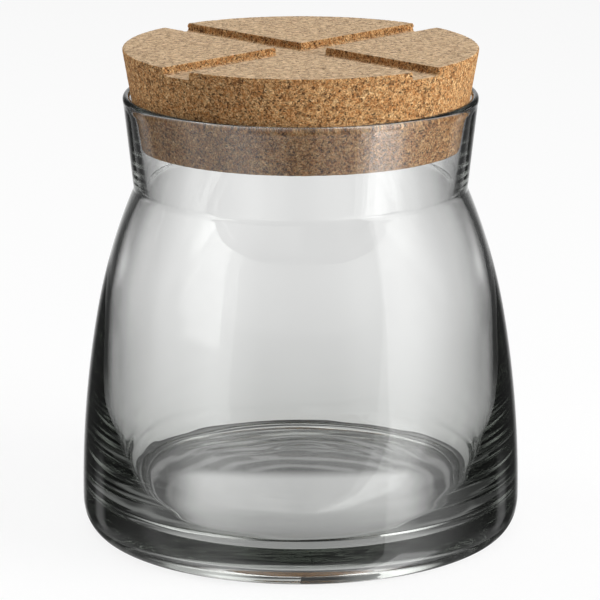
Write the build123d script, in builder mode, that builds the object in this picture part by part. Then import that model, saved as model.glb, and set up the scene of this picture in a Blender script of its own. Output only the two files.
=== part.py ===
from build123d import *
import os

# Kitchen jar of thick smoke-tinted glass with a tapered cork lid.
# Millimetres, +Z up. The origin is the centre of the foot, on the plane that the jar stands on.
# The lid sits pushed home in the mouth. Its cross of grooves runs along the diagonals.

# Glass jar: heights
jar_height = 128.0
crease_height = 100.4
inner_crease_drop = 0.5
shoulder_height = 62.7
inner_belly_height = 42.0
heel_height = 8.8
floor_height = 8.2

# Glass jar: radii of the belly and of the mouth's bore, and how far the shoulder and foot draw in
belly_radius = 64.1
shoulder_draw_in = 4.7
heel_reach = 4.9
mouth_radius = 48.9

# Glass jar: walls, from the mouth down to the heavy base
rim_wall = 2.15
crease_wall = 3.35
shoulder_wall = 3.0
belly_wall = 6.6

# Glass jar: rim bead, inner corner, crease and underside
rim_round = 1.3
bead_height = 2.2
bead_proud = 0.3
inner_corner_reach = 9.9
crease_fillet = 1.6
inner_crease_fillet = 4.9
foot_ring_width = 3.2
hollow_step_reach = 10.0
hollow_step_rise = 4.8
punt_depth = 5.8

# Mouth and cork lid: each taper is the radius lost for a millimetre of depth. The cork is the steeper cone
mouth_taper_share = 0.152
cork_taper_share = 0.168
cork_proud = 13.5
cork_inserted = 14.2
seat_gap = 0.3
cork_edge_round = 0.5

# Cork lid: crossed grooves in the top
groove_width = 10.0
groove_depth = 2.3
groove_angle = 45.0
groove_cross_forward = 2.5

# How far cuts run past the surface that they open
overrun = 2.0


def bore_radius(height):
    # The mouth is a cone that narrows downwards
    return mouth_radius - mouth_taper_share * (mouth_height - height)


def cork_radius(height):
    # The cork is a cone too, and it seats at the top of the mouth
    return mouth_radius - seat_gap - cork_taper_share * (mouth_height - height)


# Heights and radii that follow from the sizes above
mouth_height = jar_height - rim_round
inner_crease_height = crease_height - inner_crease_drop
inner_crease_radius = bore_radius(inner_crease_height)
crease_radius = inner_crease_radius + crease_wall
rim_radius = mouth_radius + rim_wall
bead_foot_height = mouth_height - bead_height
bead_foot_radius = rim_radius - bead_proud
shoulder_radius = belly_radius - shoulder_draw_in
foot_radius = belly_radius - heel_reach
inner_shoulder_radius = shoulder_radius - shoulder_wall
inner_belly_radius = belly_radius - belly_wall
inner_floor_radius = inner_belly_radius - inner_corner_reach
foot_ring_radius = foot_radius - foot_ring_width
hollow_radius = foot_ring_radius - hollow_step_reach
neck_lean = (bead_foot_radius - crease_radius) / (bead_foot_height - crease_height)

lid_top = jar_height + cork_proud
lid_bottom = jar_height - cork_inserted
lid_top_radius = cork_radius(lid_top)
lid_bottom_radius = cork_radius(lid_bottom)
groove_run = 2 * (lid_top_radius + groove_cross_forward + overrun)


# Glass jar: one blown wall, turned about Z from the outline of its right half
with BuildPart() as glass_jar:
    with BuildSketch(Plane.XZ) as wall_section:
        with BuildLine():
            # Underside: a shallow dome and a rounded step down to the ring that the jar stands on
            TangentArc((0, punt_depth), (hollow_radius, hollow_step_rise), tangent=(1, 0))
            EllipticalCenterArc(
                (hollow_radius, 0), hollow_step_reach, hollow_step_rise, 0, arc_size=90
            )
            Line((foot_ring_radius, 0), (foot_radius, 0))
            # Outside: heel, belly, shoulder
            EllipticalCenterArc((foot_radius, heel_height), heel_reach, heel_height, -90, arc_size=90)
            belly = TangentArc(
                (belly_radius, heel_height), (shoulder_radius, shoulder_height), tangent=(0, 1)
            )
            shoulder = TangentArc(
                belly @ 1, (crease_radius, crease_height), tangent=belly % 1
            )
            # Neck and rounded rim
            Line(shoulder @ 1, (bead_foot_radius, bead_foot_height))
            Spline(
                (bead_foot_radius, bead_foot_height),
                (rim_radius, mouth_height),
                tangents=[(neck_lean, 1), (0, 1)],
            )
            EllipticalCenterArc(
                (mouth_radius + rim_wall / 2, mouth_height), rim_wall / 2, rim_round, 0, arc_size=180
            )
            # Inside: tapered mouth, wall that thickens downwards, rounded corner and flat floor
            Line((mouth_radius, mouth_height), (inner_crease_radius, inner_crease_height))
            inner_belly = TangentArc(
                (inner_belly_radius, inner_belly_height),
                (inner_shoulder_radius, shoulder_height),
                tangent=(0, 1),
            )
            TangentArc(
                inner_belly @ 1, (inner_crease_radius, inner_crease_height), tangent=inner_belly % 1
            )
            EllipticalCenterArc(
                (inner_floor_radius, inner_belly_height),
                inner_corner_reach,
                inner_belly_height - floor_height,
                -90,
                arc_size=90,
            )
            Line((inner_floor_radius, floor_height), (0, floor_height))
            Line((0, floor_height), (0, punt_depth))
        make_face()
        outer_crease = wall_section.vertices().sort_by_distance((crease_radius, crease_height))[0]
        fillet(outer_crease, crease_fillet)
        inner_crease = wall_section.vertices().sort_by_distance(
            (inner_crease_radius, inner_crease_height)
        )[0]
        fillet(inner_crease, inner_crease_fillet)
    revolve(axis=Axis.Z)
glass_jar.part.label = "glass_jar"


# Cork lid: one tapered plug of pressed cork, with two grooves milled across its top
with BuildPart() as cork_lid:
    with BuildSketch(Plane.XZ) as plug_section:
        with BuildLine():
            Polyline(
                (0, lid_bottom),
                (lid_bottom_radius, lid_bottom),
                (lid_top_radius, lid_top),
                (0, lid_top),
                close=True,
            )
        make_face()
        fillet(plug_section.vertices().sort_by(Axis.X)[-2:], cork_edge_round)
    revolve(axis=Axis.Z)
    with BuildSketch(Plane.XY.offset(lid_top + overrun)):
        with Locations((0, -groove_cross_forward)):
            for arm_angle in (groove_angle, -groove_angle):
                Rectangle(groove_run, groove_width, rotation=arm_angle)
    extrude(amount=-(groove_depth + overrun), mode=Mode.SUBTRACT)
cork_lid.part.label = "cork_lid"


os.makedirs("parts", exist_ok=True)
for piece in (glass_jar, cork_lid):
    export_step(piece.part, "parts/" + piece.part.label + ".step")
    print(piece.part.label, "volume", round(piece.part.volume), "valid", piece.part.is_valid)
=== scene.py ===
"""Kitchen storage jar: blown smoke glass with a pressed cork lid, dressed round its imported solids."""
import math

import bmesh
import bpy
from bpy.props import FloatProperty, FloatVectorProperty, IntProperty, PointerProperty
from bpy.types import Operator, Panel, PropertyGroup
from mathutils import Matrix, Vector, noise
from mathutils.bvhtree import BVHTree
from mathutils.kdtree import KDTree


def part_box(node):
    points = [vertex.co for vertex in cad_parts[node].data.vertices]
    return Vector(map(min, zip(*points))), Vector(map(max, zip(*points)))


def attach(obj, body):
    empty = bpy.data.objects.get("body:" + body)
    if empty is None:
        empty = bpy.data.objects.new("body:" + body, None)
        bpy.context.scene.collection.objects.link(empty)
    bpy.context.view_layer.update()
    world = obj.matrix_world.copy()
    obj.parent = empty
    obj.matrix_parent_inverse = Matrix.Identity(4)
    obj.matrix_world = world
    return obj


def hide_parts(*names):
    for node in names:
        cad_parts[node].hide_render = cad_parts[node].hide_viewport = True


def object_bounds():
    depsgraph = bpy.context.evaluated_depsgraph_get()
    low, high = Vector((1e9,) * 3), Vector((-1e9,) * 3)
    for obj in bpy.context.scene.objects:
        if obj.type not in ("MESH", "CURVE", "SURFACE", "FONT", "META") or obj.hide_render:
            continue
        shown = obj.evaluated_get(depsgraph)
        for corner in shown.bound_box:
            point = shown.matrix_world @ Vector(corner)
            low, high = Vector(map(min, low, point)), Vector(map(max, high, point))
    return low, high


bl_info = {
    "name": "Glass Jar with Cork Lid",
    "version": (1, 0, 0),
    "blender": (4, 5, 0),
    "location": "3D View > Sidebar > Jar",
    "description": "Blown smoke glass, a pressed cork lid and a pale studio round a packed storage jar",
    "category": "Object",
}

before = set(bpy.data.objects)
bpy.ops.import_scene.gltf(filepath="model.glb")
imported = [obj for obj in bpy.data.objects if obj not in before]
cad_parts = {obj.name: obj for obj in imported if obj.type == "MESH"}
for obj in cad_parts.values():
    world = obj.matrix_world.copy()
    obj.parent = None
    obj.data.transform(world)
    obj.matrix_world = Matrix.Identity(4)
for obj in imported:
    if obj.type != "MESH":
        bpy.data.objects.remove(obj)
solid_low, solid_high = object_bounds()
jar_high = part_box("glass_jar")[1]
lid_low, lid_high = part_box("cork_lid")

MM = 0.001
WHITE = (1, 1, 1, 1)

# Points this close are one point, and a radius this small lies on the axis
SAME_POINT = 0.01 * MM
ON_AXIS = 0.001 * MM

# With fewer points than these, something went wrong in making the piece
FEWEST_GLASS_POINTS = 1000
FEWEST_CORK_POINTS = 10000

# Edges of the plug that are bent more than this stay sharp, and are followed in steps of this length.
# A point of the cork nearer than this share of its surface step is drawn to the edge
SHARP_BEND = math.radians(35)
EDGE_STEP = 0.1 * MM
EDGE_PULL = 0.55

# Light runs a long way inside the thick wall before it comes out
LIGHT_BOUNCES = 40

# The camera's sensor is in millimetres, and it stands a little left of the jar's axis
SENSOR_WIDTH = 36.0
CAMERA_ASIDE = -0.2 * MM

# The floor shows the camera this share of plain white, and its shaded paper for the rest
FLOOR_HALF = 6.0
FLOOR_WHITE = 0.85

# The patch of paper reaches past the jar by its margin, and lies under the floor by its drop
PATCH_MARGIN = 1.5 * MM
PATCH_DROP = 0.3 * MM

# The tent's middle is ahead of the camera, near the jar
TENT_RADIUS = 5.0
TENT_AHEAD = 1.0


def length(name, default, description, low=0.0):
    """A length in metres that shows in the scene's own units."""
    return FloatProperty(
        name=name, default=default, description=description, min=low, precision=5,
        subtype="DISTANCE", unit="LENGTH"
    )


def share(name, default, description, high=1.0):
    """A plain number from 0 up."""
    return FloatProperty(
        name=name, default=default, description=description, min=0.0, max=high, precision=3
    )


def colour(name, default, description):
    """A linear colour."""
    return FloatVectorProperty(
        name=name, default=default, description=description, size=3, min=0.0, max=1.0,
        subtype="COLOR"
    )


def watts(name, default, description):
    """The power of a lamp."""
    return FloatProperty(name=name, default=default, description=description, min=0.0, unit="POWER")


class JarSizes(PropertyGroup):
    """Outline of the glass, seen as the right half of a cut through its axis."""

    height: length("Height", jar_high.z, "From the foot to the top of the rim")
    belly_radius: length("Belly radius", jar_high.x, "Widest radius, just above the heel")
    crease_height: length("Crease height", 100.4 * MM, "Height of the outer crease under the neck")
    inner_crease_drop: length(
        "Inner crease drop", 0.5 * MM, "How far the inner crease lies below the outer one"
    )
    shoulder_height: length(
        "Shoulder height", 62.7 * MM, "Where the belly turns over into the shoulder"
    )
    inner_belly_height: length(
        "Inner corner height", 42.0 * MM, "Top of the rounded corner inside the base"
    )
    heel_height: length("Heel height", 8.8 * MM, "Top of the rounded outer heel")
    floor_height: length("Floor height", 8.2 * MM, "Height of the inner floor above the foot")
    shoulder_draw_in: length("Shoulder draw-in", 4.7 * MM, "Radius lost from belly to shoulder")
    heel_reach: length("Heel reach", 4.9 * MM, "Radius lost over the rounded heel")
    mouth_radius: length("Mouth radius", 48.9 * MM, "Inner radius at the mouth")
    rim_wall: length("Rim wall", 2.15 * MM, "Thickness of the rim")
    crease_wall: length("Crease wall", 3.35 * MM, "Thickness at the crease")
    shoulder_wall: length("Shoulder wall", 3.0 * MM, "Thickness at the shoulder")
    belly_wall: length("Belly wall", 6.6 * MM, "Thickness above the base")
    rim_round: length("Rim rounding", 1.3 * MM, "Height of the rounded lip")
    bead_height: length("Bead height", 2.2 * MM, "Height of the slight bead under the lip")
    bead_proud: length("Bead swell", 0.3 * MM, "How far the bead stands out")
    inner_corner_reach: length(
        "Inner corner reach", 9.9 * MM, "Radius lost over the rounded inner corner"
    )
    crease_fillet: length("Crease fillet", 1.6 * MM, "Rounding of the outer crease")
    inner_crease_fillet: length("Inner crease fillet", 4.9 * MM, "Rounding of the inner crease")
    foot_ring_width: length("Foot ring width", 3.2 * MM, "Flat ring that the jar stands on")
    hollow_step_reach: length(
        "Hollow step reach", 10.0 * MM, "Width of the rounded step inside the foot ring"
    )
    hollow_step_rise: length(
        "Hollow step rise", 4.8 * MM, "Height of the rounded step inside the foot ring"
    )
    punt_depth: length("Punt depth", 5.8 * MM, "Hollow under the middle of the base")
    taper_share: share("Mouth taper", 0.152, "Radius lost for each unit of depth in the mouth")
    turns: IntProperty(name="Steps round", default=288, min=48, description="Facets round the axis")


class GlassLook(PropertyGroup):
    """Tint and working marks of the glass."""

    refraction: FloatProperty(
        name="Refractive index", default=1.5, min=1.0, max=2.5,
        description="How strongly the glass bends light"
    )
    tint: colour("Tint", (0.452, 0.478, 0.444), "What the glass lets through best")
    tint_density: FloatProperty(
        name="Tint density", default=40.0, min=0.0, description="Absorption for each metre of glass"
    )
    wall_sway: length("Wall sway", 0.08 * MM, "Slow unevenness of the inner wall")
    floor_ripple: length("Floor ripple", 0.11 * MM, "Height of the rings left on the inner floor")
    ripple_pitch: length("Ripple pitch", 6.2 * MM, "Spacing of the rings on the inner floor")


class CorkLook(PropertyGroup):
    """Colours and grain of the pressed cork."""

    cream: colour("Cream granules", (0.86, 0.66, 0.42), "Freshest granules")
    pale: colour("Pale granules", (0.66, 0.44, 0.22), "Clean granules")
    tan: colour("Tan granules", (0.46, 0.265, 0.115), "Most of the granules")
    russet: colour("Russet granules", (0.36, 0.16, 0.055), "Granules near the bark")
    bark: colour("Bark granules", (0.14, 0.07, 0.03), "Granules of the bark itself")
    dark: colour("Dark flecks", (0.05, 0.027, 0.015), "Bark flecks, cracks and open pits")
    # Colour of the top: sanded dust, and partly a painted sheen of the light from above
    sanded_and_sheen: colour("Sanded top", (0.66, 0.52, 0.36), "Dusty, sanded upper face")
    granule: length("Granule size", 1.7 * MM, "Width of a typical granule")
    relief: length("Relief", 0.06 * MM, "How far granules stand out from each other")
    pit_depth: length("Pit depth", 0.35 * MM, "Depth of the open pits")
    grain_step: length(
        "Surface step", 0.55 * MM, "Size of the faces that carry the relief", 0.1 * MM
    )


class StudioLook(PropertyGroup):
    """Camera, floor and light."""

    camera_distance: length("Camera distance", 0.9306, "From the jar's axis, along Y")
    camera_height: length("Camera height", 0.3092, "Above the floor")
    camera_pitch: FloatProperty(
        name="Camera pitch", default=math.radians(14.62), subtype="ANGLE", unit="ROTATION",
        description="How far the camera looks down"
    )
    camera_lens: FloatProperty(
        name="Lens", default=198.0, min=10.0, description="Focal length in millimetres"
    )
    paper: colour("Paper", (0.86, 0.86, 0.86), "Floor and backdrop")
    # The level of painted light on the glowing paper under the jar, standing in for light through the
    # glass
    under_glass: share(
        "Light under the jar", 0.9, "How bright the paper is that shows through the base", 2.0
    )
    ambient: share("Ambient level", 0.17, "Even light from all round", 2.0)
    overhead: watts("Overhead lamp", 12.5, "Soft lamp above")
    key: watts("Key lamp", 22.0, "Soft lamp at the right")
    fill: watts("Fill lamp", 7.0, "Dim soft lamp at the left")


def faded(value, start, end):
    """0 below start, 1 above end, and smooth between."""
    part = min(1.0, max(0.0, (value - start) / (end - start)))
    return part * part * (3 - 2 * part)


def straight(start, end, steps):
    """Points of a straight run, without its start."""
    return [Vector(start).lerp(Vector(end), i / steps) for i in range(1, steps + 1)]


def tangent_arc(start, end, along, steps):
    """Points of the arc that leaves start in the direction along and ends at end, without its start.

    The direction in which it arrives comes second.
    """
    start, end, along = Vector(start), Vector(end), Vector(along).normalized()
    across = Vector((-along.y, along.x))
    chord = end - start
    bend = 2 * math.atan2(chord.dot(across), chord.dot(along))
    radius = chord.length_squared / (2 * chord.dot(across))
    points = []
    for i in range(1, steps + 1):
        turn = bend * i / steps
        points.append(
            start + along * (radius * math.sin(turn)) + across * (radius * (1 - math.cos(turn)))
        )
    return points, along * math.cos(bend) + across * math.sin(bend)


def quarter_ellipse(middle, reach, rise, first_turn, steps):
    """Points of a quarter ellipse from first_turn, in quarter turns, anticlockwise."""
    points = []
    for i in range(1, steps + 1):
        turn = (first_turn + i / steps) * math.pi / 2
        points.append(Vector((middle[0] + reach * math.cos(turn), middle[1] + rise * math.sin(turn))))
    return points


def rounded_corner(points, corner, radius, steps):
    """Replaces a corner of an outline by a round one."""
    at = points[corner]
    into = (at - points[corner - 1]).normalized()
    out = (points[corner + 1] - at).normalized()
    cut = radius * math.tan(into.angle(out) / 2)

    def walk(step):
        """The first point past the cut, and the place of the cut, on one side of the corner."""
        here, left = corner, cut
        gap = (points[here + step] - points[here]).length
        while gap < left:
            left -= gap
            here += step
            gap = (points[here + step] - points[here]).length
        return here + step, points[here].lerp(points[here + step], left / gap)

    before, first = walk(-1)
    after, last = walk(1)
    bend = []
    for i in range(steps + 1):
        t = i / steps
        bend.append(first * (1 - t) ** 2 + at * (2 * t * (1 - t)) + last * t ** 2)
    return points[: before + 1] + bend + points[after:]


def bead_curve(foot, rim, lean, steps):
    """The slight swell under the lip: it leaves foot in the direction lean and ends upright at rim."""
    grip = (rim - foot).length / 3
    points = []
    for i in range(1, steps + 1):
        t = i / steps
        points.append(
            foot * (1 - t) ** 3 + (foot + lean * grip) * (3 * t * (1 - t) ** 2)
            + (rim - Vector((0, grip))) * (3 * t * t * (1 - t)) + rim * t ** 3
        )
    return points


def glass_outline(s):
    """The glass in section as (radius, height) points: underside, outside, rim, inside to the axis."""
    dome_steps, hollow_steps, ring_steps, heel_steps = 20, 16, 5, 26
    belly_steps, inner_belly_steps, shoulder_steps = 34, 24, 26
    neck_steps, lip_steps, corner_steps, floor_steps = 16, 8, 44, 36
    crease_steps, inner_crease_steps = 8, 10

    mouth_height = s.height - s.rim_round
    waist = s.crease_height - s.inner_crease_drop
    inner_crease = Vector((s.mouth_radius - s.taper_share * (mouth_height - waist), waist))
    crease = Vector((inner_crease.x + s.crease_wall, s.crease_height))
    rim = Vector((s.mouth_radius + s.rim_wall, mouth_height))
    bead_foot = Vector((s.mouth_radius + s.rim_wall - s.bead_proud, mouth_height - s.bead_height))
    shoulder = Vector((s.belly_radius - s.shoulder_draw_in, s.shoulder_height))
    foot = s.belly_radius - s.heel_reach
    ring_edge = foot - s.foot_ring_width
    hollow = ring_edge - s.hollow_step_reach
    inner_shoulder = Vector((shoulder.x - s.shoulder_wall, s.shoulder_height))
    inner_belly = Vector((s.belly_radius - s.belly_wall, s.inner_belly_height))
    floor_radius = inner_belly.x - s.inner_corner_reach

    # Underside and outside
    line = [Vector((0.0, s.punt_depth))]
    line += tangent_arc(line[0], (hollow, s.hollow_step_rise), (1, 0), dome_steps)[0]
    step = quarter_ellipse(
        (hollow, 0), s.hollow_step_reach, s.hollow_step_rise, 0, hollow_steps
    )
    line += step[-2::-1] + [Vector((ring_edge, 0))]
    line += straight(line[-1], (foot, 0), ring_steps)
    line += quarter_ellipse((foot, s.heel_height), s.heel_reach, s.heel_height, -1, heel_steps)
    belly, leaving = tangent_arc(line[-1], shoulder, (0, 1), belly_steps)
    line += belly
    line += tangent_arc(shoulder, crease, leaving, shoulder_steps)[0]
    crease_at = len(line) - 1
    line += straight(crease, bead_foot, neck_steps)

    # Rim
    line += bead_curve(bead_foot, rim, (bead_foot - crease).normalized(), lip_steps)
    lip = (s.mouth_radius + s.rim_wall / 2, mouth_height)
    for quarter in (0, 1):
        line += quarter_ellipse(lip, s.rim_wall / 2, s.rim_round, quarter, lip_steps)

    # Inside
    line += straight(line[-1], inner_crease, neck_steps)
    inner_crease_at = len(line) - 1
    inner_wall, leaving = tangent_arc(inner_belly, inner_shoulder, (0, 1), inner_belly_steps)
    upper_wall = tangent_arc(inner_shoulder, inner_crease, leaving, shoulder_steps)[0]
    line += upper_wall[-2::-1] + inner_wall[::-1] + [inner_belly]
    corner = quarter_ellipse(
        (floor_radius, s.inner_belly_height), s.inner_corner_reach,
        s.inner_belly_height - s.floor_height, -1, corner_steps
    )
    line += corner[-2::-1] + [Vector((floor_radius, s.floor_height))]
    line += straight(line[-1], (0, s.floor_height), floor_steps)
    line = rounded_corner(line, inner_crease_at, s.inner_crease_fillet, inner_crease_steps)
    return rounded_corner(line, crease_at, s.crease_fillet, crease_steps)


def placed(name, data):
    """A new object in the scene."""
    piece = bpy.data.objects.new(name, data)
    bpy.context.scene.collection.objects.link(piece)
    return piece


def turned(name, outline, turns):
    """A closed, smooth solid of revolution about Z, whose outline begins and ends on the axis."""
    mesh = bpy.data.meshes.new(name)
    work = bmesh.new()
    rings = []
    for radius, height in outline:
        if radius < ON_AXIS:
            rings.append([work.verts.new((0, 0, height))] * turns)
            continue
        ring = []
        for i in range(turns):
            angle = 2 * math.pi * i / turns
            ring.append(work.verts.new((radius * math.sin(angle), -radius * math.cos(angle), height)))
        rings.append(ring)
    for low, high in zip(rings, rings[1:]):
        for i in range(turns):
            j = (i + 1) % turns
            corners = dict.fromkeys([low[i], low[j], high[j], high[i]])
            work.faces.new(list(corners)).smooth = True
    work.normal_update()
    work.to_mesh(mesh)
    work.free()
    return placed(name, mesh)


def node(tree, kind, inputs=None, **settings):
    """A new node with its settings. An input takes a plain value, or a link where it is a socket."""
    made = tree.nodes.new("ShaderNode" + kind)
    for name, value in settings.items():
        setattr(made, name, value)
    for name, value in (inputs or {}).items():
        if isinstance(value, bpy.types.NodeSocket):
            tree.links.new(value, made.inputs[name])
        else:
            made.inputs[name].default_value = value
    return made


def maths(tree, operation, *values):
    """The output of a Math node on numbers or sockets."""
    return node(tree, "Math", dict(enumerate(values)), operation=operation).outputs[0]


def mixed(tree, factor, first, second):
    """A mix of two colours, each a socket or a plain colour."""
    first, second = (
        tone if isinstance(tone, bpy.types.NodeSocket) else (*tone, 1) for tone in (first, second)
    )
    return node(tree, "Mix", {0: factor, 6: first, 7: second}, data_type="RGBA").outputs[2]


def scaled(tree, vector, factor):
    """A vector or colour times a number."""
    return node(tree, "VectorMath", {0: vector, "Scale": factor}, operation="SCALE").outputs[0]


def ranged(tree, value, low, high, to_low=0.0, to_high=1.0, smooth=True):
    """Maps a value from one range to another, and holds it at the ends."""
    return node(
        tree, "MapRange",
        {"Value": value, "From Min": low, "From Max": high, "To Min": to_low, "To Max": to_high},
        interpolation_type="SMOOTHSTEP" if smooth else "LINEAR"
    ).outputs["Result"]


def granule_cells(tree, vector, size, kind="F1"):
    """Voronoi cells of about that size, in metres."""
    return node(tree, "TexVoronoi", {"Vector": vector, "Scale": 1 / size}, feature=kind)


def drift_noise(tree, vector, size, detail=2.0):
    """Noise with features of about that size, in metres."""
    return node(tree, "TexNoise", {"Vector": vector, "Scale": 1 / size, "Detail": detail})


def parts(tree, colour_socket):
    """Red, green and blue of a colour, as three random numbers of a cell."""
    return node(tree, "SeparateColor", {0: colour_socket}).outputs


def palette(tree, value, stops):
    """A colour ramp over given tones."""
    made = node(tree, "ValToRGB", {0: value})
    ramp = made.color_ramp
    while len(ramp.elements) < len(stops):
        ramp.elements.new(0.5)
    for element, (position, tone) in zip(ramp.elements, stops):
        element.position = position
        element.color = (*tone, 1)
    return made.outputs[0]


def new_material(name):
    """An empty material, its node tree and the socket that its surface goes into."""
    material = bpy.data.materials.new(name)
    material.use_nodes = True
    material.node_tree.nodes.clear()
    return material, material.node_tree, node(material.node_tree, "OutputMaterial").inputs


def glowing_material(name, tone, strength_of):
    """A material that only glows, as strongly as strength_of(tree) says. It isn't used as a lamp."""
    material, tree, out = new_material(name)
    lit = node(tree, "Emission", {"Color": tone, "Strength": strength_of(tree)})
    tree.links.new(lit.outputs[0], out["Surface"])
    material.cycles.emission_sampling = "NONE"
    return material


def glass_material(look):
    """Clear polished glass with an even smoke tint through its thickness."""
    material, tree, out = new_material("smoke_glass")
    where = node(tree, "TexCoord").outputs["Object"]
    waves = node(tree, "TexNoise", {"Vector": where, "Scale": 35.0, "Detail": 1.0})
    bump = node(tree, "Bump", {"Height": waves.outputs["Fac"], "Strength": 0.05, "Distance": 0.4 * MM})
    shader = node(tree, "BsdfPrincipled", {
        "Base Color": WHITE, "Roughness": 0.0, "IOR": look.refraction, "Transmission Weight": 1.0,
        "Normal": bump.outputs["Normal"],
    })
    smoke = node(tree, "VolumeAbsorption", {"Color": (*look.tint, 1), "Density": look.tint_density})
    tree.links.new(shader.outputs[0], out["Surface"])
    tree.links.new(smoke.outputs[0], out["Volume"])
    return material


def cork_material(look, lid_top):
    """Pressed cork: granules of several browns, dark flecks and cracks, and a paler sanded top, whose
    paleness is partly a painted sheen of the light from above.
    """
    material, tree, out = new_material("cork")
    where = node(tree, "TexCoord").outputs["Object"]

    # Granules are pressed out of round
    drift = drift_noise(tree, where, 2.2 * MM)
    squeeze = (1.6 * MM, 1.6 * MM, 1.2 * MM)
    bent = node(
        tree, "VectorMath", {0: drift.outputs["Color"], 1: squeeze, 2: where},
        operation="MULTIPLY_ADD"
    ).outputs[0]

    # Three sizes of granule, each with its own random numbers, add up to the tone
    coarse, middling, fine = (
        parts(tree, granule_cells(tree, bent, look.granule * size).outputs["Color"])
        for size in (1.0, 0.55, 0.3)
    )
    tone = maths(tree, "MULTIPLY_ADD", coarse[0], 0.15, 0.08)
    tone = maths(tree, "MULTIPLY_ADD", middling[0], 0.17, tone)
    tone = maths(tree, "MULTIPLY_ADD", fine[0], 0.41, tone)
    body = palette(tree, tone, (
        (0.14, look.bark), (0.30, look.russet), (0.44, look.tan),
        (0.58, look.tan), (0.74, look.pale), (0.88, look.cream),
    ))
    body = mixed(tree, ranged(tree, middling[1], 0.80, 0.92, 0.0, 0.6), body, look.russet)

    # Each granule is streaked and worn
    mottle = drift_noise(tree, where, 0.45 * MM, 4.0).outputs["Fac"]
    body = scaled(tree, body, ranged(tree, mottle, 0.3, 0.7, 0.5, 1.42))

    # Dark flecks of bark, and short cracks that bend round the granules
    flecks = granule_cells(tree, bent, look.granule * 0.5)
    fleck = maths(
        tree, "MULTIPLY", ranged(tree, parts(tree, flecks.outputs["Color"])[2], 0.80, 0.84),
        ranged(tree, flecks.outputs["Distance"], 0.22, 0.48, 1.0, 0.0)
    )
    vein = drift_noise(tree, bent, 1.7 * MM, 3.0).outputs["Fac"]
    off_vein = maths(tree, "ABSOLUTE", maths(tree, "SUBTRACT", vein, 0.5))
    broken = drift_noise(tree, where, 1.3 * MM, 1.0).outputs
    crack = maths(
        tree, "MULTIPLY", ranged(tree, off_vein, 0.008, 0.03, 1.0, 0.0),
        ranged(tree, broken["Fac"], 0.5, 0.58)
    )
    off_seam = granule_cells(tree, bent, look.granule, "DISTANCE_TO_EDGE").outputs["Distance"]
    seam = maths(
        tree, "MULTIPLY", ranged(tree, off_seam, 0.02, 0.10, 1.0, 0.0),
        ranged(tree, broken["Color"], 0.5, 0.6)
    )
    marks = maths(
        tree, "MAXIMUM", maths(tree, "MAXIMUM", fleck, crack), maths(tree, "MULTIPLY", seam, 0.7)
    )

    # The sanded top and groove floors are paler and dustier, with fine marks across; part of this
    # paleness is a painted sheen of the light from above
    rise = node(tree, "SeparateXYZ", {0: where}).outputs[2]
    facing = node(tree, "NewGeometry").outputs["True Normal"]
    upward = node(tree, "SeparateXYZ", {0: facing}).outputs[2]
    top = maths(
        tree, "MULTIPLY", ranged(tree, upward, 0.75, 0.93),
        ranged(tree, rise, lid_top - 3.2 * MM, lid_top - 2.6 * MM)
    )
    stretched = node(tree, "Mapping", {"Vector": where, "Scale": (0.28, 1.0, 1.0)}).outputs[0]
    streak = drift_noise(tree, stretched, 0.7 * MM, 3.0).outputs["Fac"]
    dust_and_sheen = scaled(tree, look.sanded_and_sheen, ranged(tree, streak, 0.3, 0.7, 0.5, 1.44))
    # Painted sheen and dust: faces that look up, near the top, are mixed towards the pale top colour
    body = mixed(tree, maths(tree, "MULTIPLY", top, 0.6), body, dust_and_sheen)
    kept = ranged(tree, top, 0.0, 1.0, 0.92, 0.75, False)
    body = mixed(tree, maths(tree, "MULTIPLY", marks, kept), body, look.dark)

    height = maths(tree, "MULTIPLY", coarse[1], 0.5)
    height = maths(tree, "MULTIPLY_ADD", middling[2], 0.4, height)
    height = maths(tree, "MULTIPLY_ADD", mottle, 0.9, height)
    height = maths(tree, "SUBTRACT", height, maths(tree, "MULTIPLY", marks, 1.3))
    bump = node(tree, "Bump", {"Height": height, "Strength": 0.7, "Distance": 0.15 * MM})
    shader = node(tree, "BsdfPrincipled", {
        "Base Color": body, "Roughness": ranged(tree, mottle, 0.3, 0.7, 0.78, 0.95),
        "IOR": 1.4, "Specular IOR Level": 0.2, "Normal": bump.outputs["Normal"],
    })
    tree.links.new(shader.outputs[0], out["Surface"])
    return material


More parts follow.
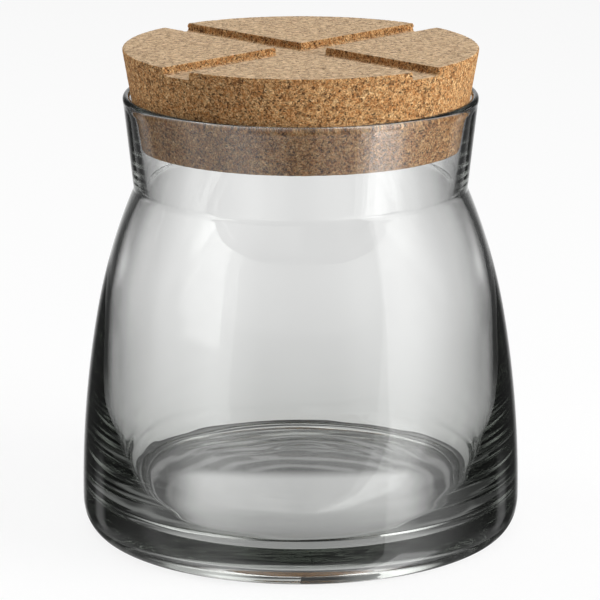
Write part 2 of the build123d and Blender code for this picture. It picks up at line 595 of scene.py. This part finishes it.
class JAR_OT_blow_glass(Operator):
    """Make the smoke glass jar: turn its wall, sway the inner wall and ripple the inner floor"""

    bl_idname = "jar.blow_glass"
    bl_label = "Blow the glass jar"
    bl_options = {"REGISTER", "UNDO"}

    def execute(self, context):
        sizes, look = context.scene.jar_sizes, context.scene.jar_glass
        outline = glass_outline(sizes)
        jar = turned("glass_jar_blown", outline, sizes.turns)
        if len(jar.data.vertices) < FEWEST_GLASS_POINTS:
            raise RuntimeError("the outline of the glass came out empty")
        # The outline's first point is one vertex, and every other point up to the lip is a ring
        lip = max(range(len(outline)), key=lambda i: outline[i].y)
        inner_start = 1 + lip * sizes.turns
        normals = [vertex.normal.copy() for vertex in jar.data.vertices]
        for vertex in jar.data.vertices[inner_start:]:
            at = vertex.co.copy()
            if at.z <= sizes.crease_height and math.hypot(at.x, at.y) >= ON_AXIS:
                vertex.co = at + normals[vertex.index] * self.unevenness(at, sizes, look)
        jar.data.update()
        jar.data.materials.append(glass_material(look))
        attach(jar, "jar")
        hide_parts("glass_jar")
        return {"FINISHED"}

    @staticmethod
    def unevenness(at, sizes, look):
        """How far the inside of the glass stands out at a point."""
        radius = math.hypot(at.x, at.y)
        ring = Vector((at.x, at.y, 0)) / radius
        # Rings left by the plunger, strongest in the rounded corner and fading out to the middle
        along = radius + 0.8 * max(0.0, at.z - sizes.floor_height)
        rings = faded(along, 12 * MM, 28 * MM) * (1 - faded(at.z, 18 * MM, 36 * MM))
        drift = noise.noise(Vector((ring.x * 1.3, ring.y * 1.3, along * 40)))
        wave = math.sin(2 * math.pi * (along / look.ripple_pitch + 1.1 * drift))
        strength = 0.55 + 0.9 * noise.noise(Vector((ring.x * 2.0, ring.y * 2.0, 7.0 + along * 45)))
        # They are deepest at the back and nearly smooth at the front and sides
        depth = 0.25 + 0.75 * faded(at.y, 0.0, 30 * MM)
        push = look.floor_ripple * rings * wave * strength * depth
        push += 0.4 * look.floor_ripple * faded(radius, 0.0, 10 * MM) * noise.noise(at * 45)
        # The blown wall sways slowly between the base and the crease
        wall = faded(at.z, 25 * MM, 50 * MM) * (1 - faded(at.z, 72 * MM, 94 * MM))
        sway = noise.noise(Vector((ring.x * 1.8, ring.y * 1.8, at.z * 30)))
        return push + look.wall_sway * wall * sway


class JAR_OT_press_cork(Operator):
    """Make the cork lid: relief of granules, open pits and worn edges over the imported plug"""

    bl_idname = "jar.press_cork"
    bl_label = "Press the cork lid"
    bl_options = {"REGISTER", "UNDO"}

    def execute(self, context):
        look = context.scene.jar_cork
        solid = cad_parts["cork_lid"]
        lid = placed("cork_lid_pressed", solid.data.copy())
        lid.data.materials.clear()
        work = self.joined(lid.data)
        work.to_mesh(lid.data)
        work.free()
        skin = lid.modifiers.new("skin", "REMESH")
        skin.mode = "VOXEL"
        skin.voxel_size = look.grain_step
        skin.use_smooth_shade = True
        reached = lid.evaluated_get(context.evaluated_depsgraph_get())
        mesh = bpy.data.meshes.new_from_object(reached)
        lid.modifiers.clear()
        lid.data = mesh
        if len(mesh.vertices) < FEWEST_CORK_POINTS:
            raise RuntimeError("the cork's surface came out too coarse for its grain")
        self.draw_to_plug(mesh, solid.data, look.grain_step)
        normals = [vertex.normal.copy() for vertex in mesh.vertices]
        for vertex, out in zip(mesh.vertices, normals):
            sunk = vertex.co - out * self.grain_drop(vertex.co, out, look)
            vertex.co = [min(max(value, low), high) for value, low, high in zip(sunk, lid_low, lid_high)]
        mesh.update()
        mesh.materials.append(cork_material(look, lid_high.z))
        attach(lid, "lid")
        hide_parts("cork_lid")
        return {"FINISHED"}

    @staticmethod
    def joined(mesh):
        """A working copy of a mesh with its faces joined up."""
        work = bmesh.new()
        work.from_mesh(mesh)
        bmesh.ops.remove_doubles(work, verts=work.verts, dist=SAME_POINT)
        return work

    def draw_to_plug(self, mesh, plug, step):
        """Draws the surface back to the plug and its sharp edges, which remeshing rounds off."""
        work = self.joined(plug)
        skin = BVHTree.FromBMesh(work)
        edge_points = []
        for edge in work.edges:
            if len(edge.link_faces) == 2 and edge.calc_face_angle() > SHARP_BEND:
                first, last = edge.verts[0].co, edge.verts[1].co
                count = max(1, int((last - first).length / EDGE_STEP))
                edge_points += [first.lerp(last, i / count) for i in range(count + 1)]
        edges = KDTree(len(edge_points))
        for i, point in enumerate(edge_points):
            edges.insert(point, i)
        edges.balance()
        for vertex in mesh.vertices:
            point, _, away = edges.find(vertex.co)
            vertex.co = point if away < EDGE_PULL * step else skin.find_nearest(vertex.co)[0]
        work.free()
        mesh.update()

    @staticmethod
    def grain_drop(at, out, look):
        """How deep the surface lies at a point: low granules, the seams between them and open pits."""
        gaps, centres = noise.voronoi(at / look.granule)
        drop = look.relief * (0.35 + 0.65 * abs(noise.cell(centres[0] * 13.7)))
        drop += look.relief * 0.9 * max(0.0, 1 - (gaps[1] - gaps[0]) / 0.16)
        pit_gaps, pit_centres = noise.voronoi(at / (look.granule * 1.5) + Vector((11.3, 4.1, 7.7)))
        # A quarter of the coarser cells hold a pit, but none on the sanded top
        if noise.cell(pit_centres[0] * 9.1) > 0.5 and out.z < 0.8:
            drop += look.pit_depth * max(0.0, 1 - pit_gaps[0] / 0.22)
        return drop


def stage_piece(name, make, **sizes):
    """A plain mesh of the stage, made by one of bmesh's own shapes."""
    mesh = bpy.data.meshes.new(name)
    work = bmesh.new()
    make(work, **sizes)
    work.to_mesh(mesh)
    work.free()
    return placed(name, mesh)


class JAR_OT_set_stage(Operator):
    """Lay the pale floor, hang the soft lamps, raise the studio tent and place the camera"""

    bl_idname = "jar.set_stage"
    bl_label = "Set the stage"
    bl_options = {"REGISTER", "UNDO"}

    def execute(self, context):
        look, scene = context.scene.jar_studio, context.scene
        camera = placed("camera", bpy.data.cameras.new("camera"))
        camera.data.lens = look.camera_lens
        camera.data.sensor_width = SENSOR_WIDTH
        camera.location = (CAMERA_ASIDE, -look.camera_distance, look.camera_height)
        camera.rotation_euler = (math.pi / 2 - look.camera_pitch, 0, 0)
        scene.camera = camera
        scene.view_settings.view_transform = "Standard"
        scene.cycles.max_bounces = LIGHT_BOUNCES
        scene.cycles.glossy_bounces = LIGHT_BOUNCES
        scene.cycles.transmission_bounces = LIGHT_BOUNCES
        self.lay_floor(look)
        self.lay_patch(look)
        self.paint_world(scene, look)
        self.hang_lamps(look)
        self.raise_tent(camera)
        return {"FINISHED"}

    def lay_floor(self, look):
        floor = stage_piece("floor", bmesh.ops.create_grid, x_segments=1, y_segments=1, size=FLOOR_HALF)
        material, tree, out = new_material("floor_paper")
        matt = node(tree, "BsdfDiffuse", {"Color": (*look.paper, 1)})
        white = node(tree, "Emission", {"Color": WHITE, "Strength": 1.0})
        seen = node(tree, "LightPath").outputs["Is Camera Ray"]
        blend = node(tree, "MixShader", {
            0: maths(tree, "MULTIPLY", seen, FLOOR_WHITE), 1: matt.outputs[0], 2: white.outputs[0],
        })
        tree.links.new(blend.outputs[0], out["Surface"])
        material.cycles.emission_sampling = "NONE"
        floor.data.materials.append(material)
        floor.visible_glossy = False
        floor.visible_transmission = False

    def lay_patch(self, look):
        """The paper right under the jar: the one part of the floor that shows through its base. It isn't
        lit but glows with painted light and painted shade.
        """
        patch = stage_piece(
            "floor_patch", bmesh.ops.create_circle, cap_ends=True, segments=96,
            radius=solid_high.x + PATCH_MARGIN
        )
        patch.location.z = -PATCH_DROP

        def painted_brightness(tree):
            """Painted light: bright where light comes down through the mouth, with painted shade at the
            sides, the back and a little towards the front.
            """
            where = node(tree, "TexCoord").outputs["Object"]
            across, along, _ = node(tree, "SeparateXYZ", {0: where}).outputs
            middle = ranged(tree, maths(tree, "ABSOLUTE", across), 30 * MM, 48 * MM, 1.0, 0.0)
            front = ranged(tree, along, 8 * MM, 22 * MM, 1.0, 0.0)
            near = ranged(tree, along, -46 * MM, -12 * MM, 0.55, 0.95)
            bright = maths(tree, "MULTIPLY", maths(tree, "MULTIPLY", middle, front), look.under_glass)
            bright = maths(tree, "MULTIPLY", bright, near)
            # Painted rings of light, standing in for light thrown by the rippled floor of the jar
            rings = node(tree, "TexWave", {
                "Vector": where, "Scale": 34.0, "Distortion": 5.0, "Detail": 2.0, "Detail Scale": 0.8,
            }, wave_type="RINGS", rings_direction="Z")
            painted_rings = ranged(tree, rings.outputs["Fac"], 0.3, 1.0, 0.1, 0.34)
            return maths(tree, "MAXIMUM", bright, painted_rings)

        patch.data.materials.append(glowing_material("patch_paper_painted_light", (*look.paper, 1), painted_brightness))
        patch.visible_camera = False
        patch.visible_diffuse = False

    def paint_world(self, scene, look):
        """White to the camera, and a low even light to everything else."""
        scene.world = bpy.data.worlds.new("studio")
        scene.world.use_nodes = True
        tree = scene.world.node_tree
        tree.nodes.clear()
        seen = node(tree, "LightPath").outputs["Is Camera Ray"]
        sky = node(tree, "Background", {
            "Color": WHITE, "Strength": ranged(tree, seen, 0, 1, look.ambient, 1.0, False),
        })
        tree.links.new(sky.outputs[0], node(tree, "OutputWorld").inputs["Surface"])

    def hang_lamps(self, look):
        aim = Vector((0, 0, 0.1))
        for name, power, size, place in (
            ("overhead", look.overhead, 1.2, (0.1, -0.1, 1.5)),
            ("key", look.key, 0.9, (1.2, -0.5, 0.45)),
            ("fill", look.fill, 0.7, (-1.1, 0.55, 0.45)),
        ):
            lamp = placed(name, bpy.data.lights.new(name, "AREA"))
            lamp.data.shape = "SQUARE"
            lamp.data.size = size
            lamp.data.energy = power
            lamp.location = place
            lamp.rotation_euler = (aim - Vector(place)).to_track_quat("-Z", "Y").to_euler()
            lamp.visible_glossy = False
            lamp.visible_transmission = False

    def raise_tent(self, camera):
        """The studio that shows in the glass and through it. It stays with the camera."""
        tent = stage_piece(
            "tent", bmesh.ops.create_uvsphere, u_segments=64, v_segments=32, radius=TENT_RADIUS
        )
        tent.parent = camera
        tent.location = (0, 0, -TENT_AHEAD)
        tent.data.materials.append(glowing_material("tent_light", WHITE, self.tent_light))
        tent.visible_camera = False
        tent.visible_diffuse = False
        tent.visible_shadow = False

    @staticmethod
    def tent_light(tree):
        """Soft panels of the tent, set by degrees round its upright and degrees of lift."""
        where = node(tree, "TexCoord").outputs["Object"]
        x, y, z = node(tree, "SeparateXYZ", {0: where}).outputs
        to_degrees = 180 / math.pi
        # 0 is straight behind the jar, and 90 is to its right
        turn = maths(tree, "ARCTAN2", x, maths(tree, "MULTIPLY", z, -1.0))
        turn = maths(tree, "MULTIPLY", turn, to_degrees)
        aside = maths(tree, "ABSOLUTE", turn)
        lift = maths(tree, "ARCSINE", maths(tree, "DIVIDE", y, TENT_RADIUS))
        lift = maths(tree, "MULTIPLY", lift, to_degrees)

        def zone(level, *edges):
            """A level inside soft edges, each given as (value, where it is 0, where it is 1)."""
            for value, outside, inside in edges:
                if inside < outside:
                    edge = ranged(tree, value, inside, outside, 1.0, 0.0)
                else:
                    edge = ranged(tree, value, outside, inside)
                level = maths(tree, "MULTIPLY", edge, level)
            return level

        floor_lit = zone(0.3, (lift, -10, -19), (aside, 8, 22), (aside, 110, 80))
        slot_high = zone(0.8, (aside, 38, 45), (aside, 55, 48), (lift, 4, 9), (lift, 15, 10))
        slot_low = zone(0.45, (aside, 38, 45), (aside, 55, 48), (lift, -18, -12), (lift, -4, -9))
        right_box = zone(1.2, (turn, 78, 120), (turn, 132.4, 131.6))
        right_glow = zone(0.95, (turn, 74, 118), (turn, 140, 118))
        left_panel = zone(0.75, (turn, -80, -98), (turn, -160, -126))
        front = zone(0.35, (aside, 110, 135), (aside, 162, 140))
        above = zone(0.9, (lift, 58, 72))
        low = zone(0.55, (lift, -20, -50), (aside, 60, 100), (aside, 176, 158))
        left_high = zone(0.9, (lift, 15, 35), (turn, -50, -90))
        neck_box = zone(2.7, (turn, 86, 98), (turn, 122.5, 121), (lift, -28, -33))
        table = zone(0.85, (lift, -38, -48))
        around = 0.05
        for light in (
            floor_lit, slot_high, slot_low, right_box, right_glow, left_panel,
            front, low, above, left_high, neck_box, table
        ):
            around = maths(tree, "ADD", light, around)
        behind = zone(0.82, (aside, 27, 2), (lift, 42, 22))
        behind_level = ranged(tree, lift, -45.0, -16.0, 0.2, 1.0)
        shown = maths(tree, "MULTIPLY_ADD", behind, behind_level, around)

        # Light that has already touched cork or paper meets an even tent, brighter from the right
        right = zone(3.4, (turn, 15, 80), (turn, 165, 120))
        left = zone(0.9, (turn, -20, -80), (turn, -150, -110))
        even = 0.28
        lighting = maths(tree, "ADD", maths(tree, "ADD", right, left), even)
        bounced = node(tree, "LightPath").outputs["Diffuse Depth"]
        touched = maths(tree, "GREATER_THAN", bounced, 0.5)
        untouched = maths(tree, "SUBTRACT", 1.0, touched)
        return maths(
            tree, "ADD", maths(tree, "MULTIPLY", shown, untouched),
            maths(tree, "MULTIPLY", lighting, touched)
        )


class VIEW3D_PT_jar(Panel):
    """Sizes, colours and makers of the jar"""

    bl_idname = "VIEW3D_PT_jar"
    bl_label = "Jar with cork lid"
    bl_space_type = "VIEW_3D"
    bl_region_type = "UI"
    bl_category = "Jar"

    def draw(self, context):
        scene = context.scene
        for title, group, maker in (
            ("Glass outline", scene.jar_sizes, None),
            ("Glass", scene.jar_glass, JAR_OT_blow_glass.bl_idname),
            ("Cork", scene.jar_cork, JAR_OT_press_cork.bl_idname),
            ("Studio", scene.jar_studio, JAR_OT_set_stage.bl_idname),
        ):
            box = self.layout.box()
            box.label(text=title)
            for name in group.__annotations__:
                box.prop(group, name)
            if maker:
                box.operator(maker)


classes = (
    JarSizes, GlassLook, CorkLook, StudioLook,
    JAR_OT_blow_glass, JAR_OT_press_cork, JAR_OT_set_stage, VIEW3D_PT_jar,
)


def register():
    for entry in classes:
        bpy.utils.register_class(entry)
    bpy.types.Scene.jar_sizes = PointerProperty(type=JarSizes)
    bpy.types.Scene.jar_glass = PointerProperty(type=GlassLook)
    bpy.types.Scene.jar_cork = PointerProperty(type=CorkLook)
    bpy.types.Scene.jar_studio = PointerProperty(type=StudioLook)


def unregister():
    for name in ("jar_studio", "jar_cork", "jar_glass", "jar_sizes"):
        delattr(bpy.types.Scene, name)
    for entry in reversed(classes):
        bpy.utils.unregister_class(entry)


def main():
    register()
    bpy.ops.jar.set_stage()
    bpy.ops.jar.blow_glass()
    bpy.ops.jar.press_cork()


if __name__ == "__main__":
    main()
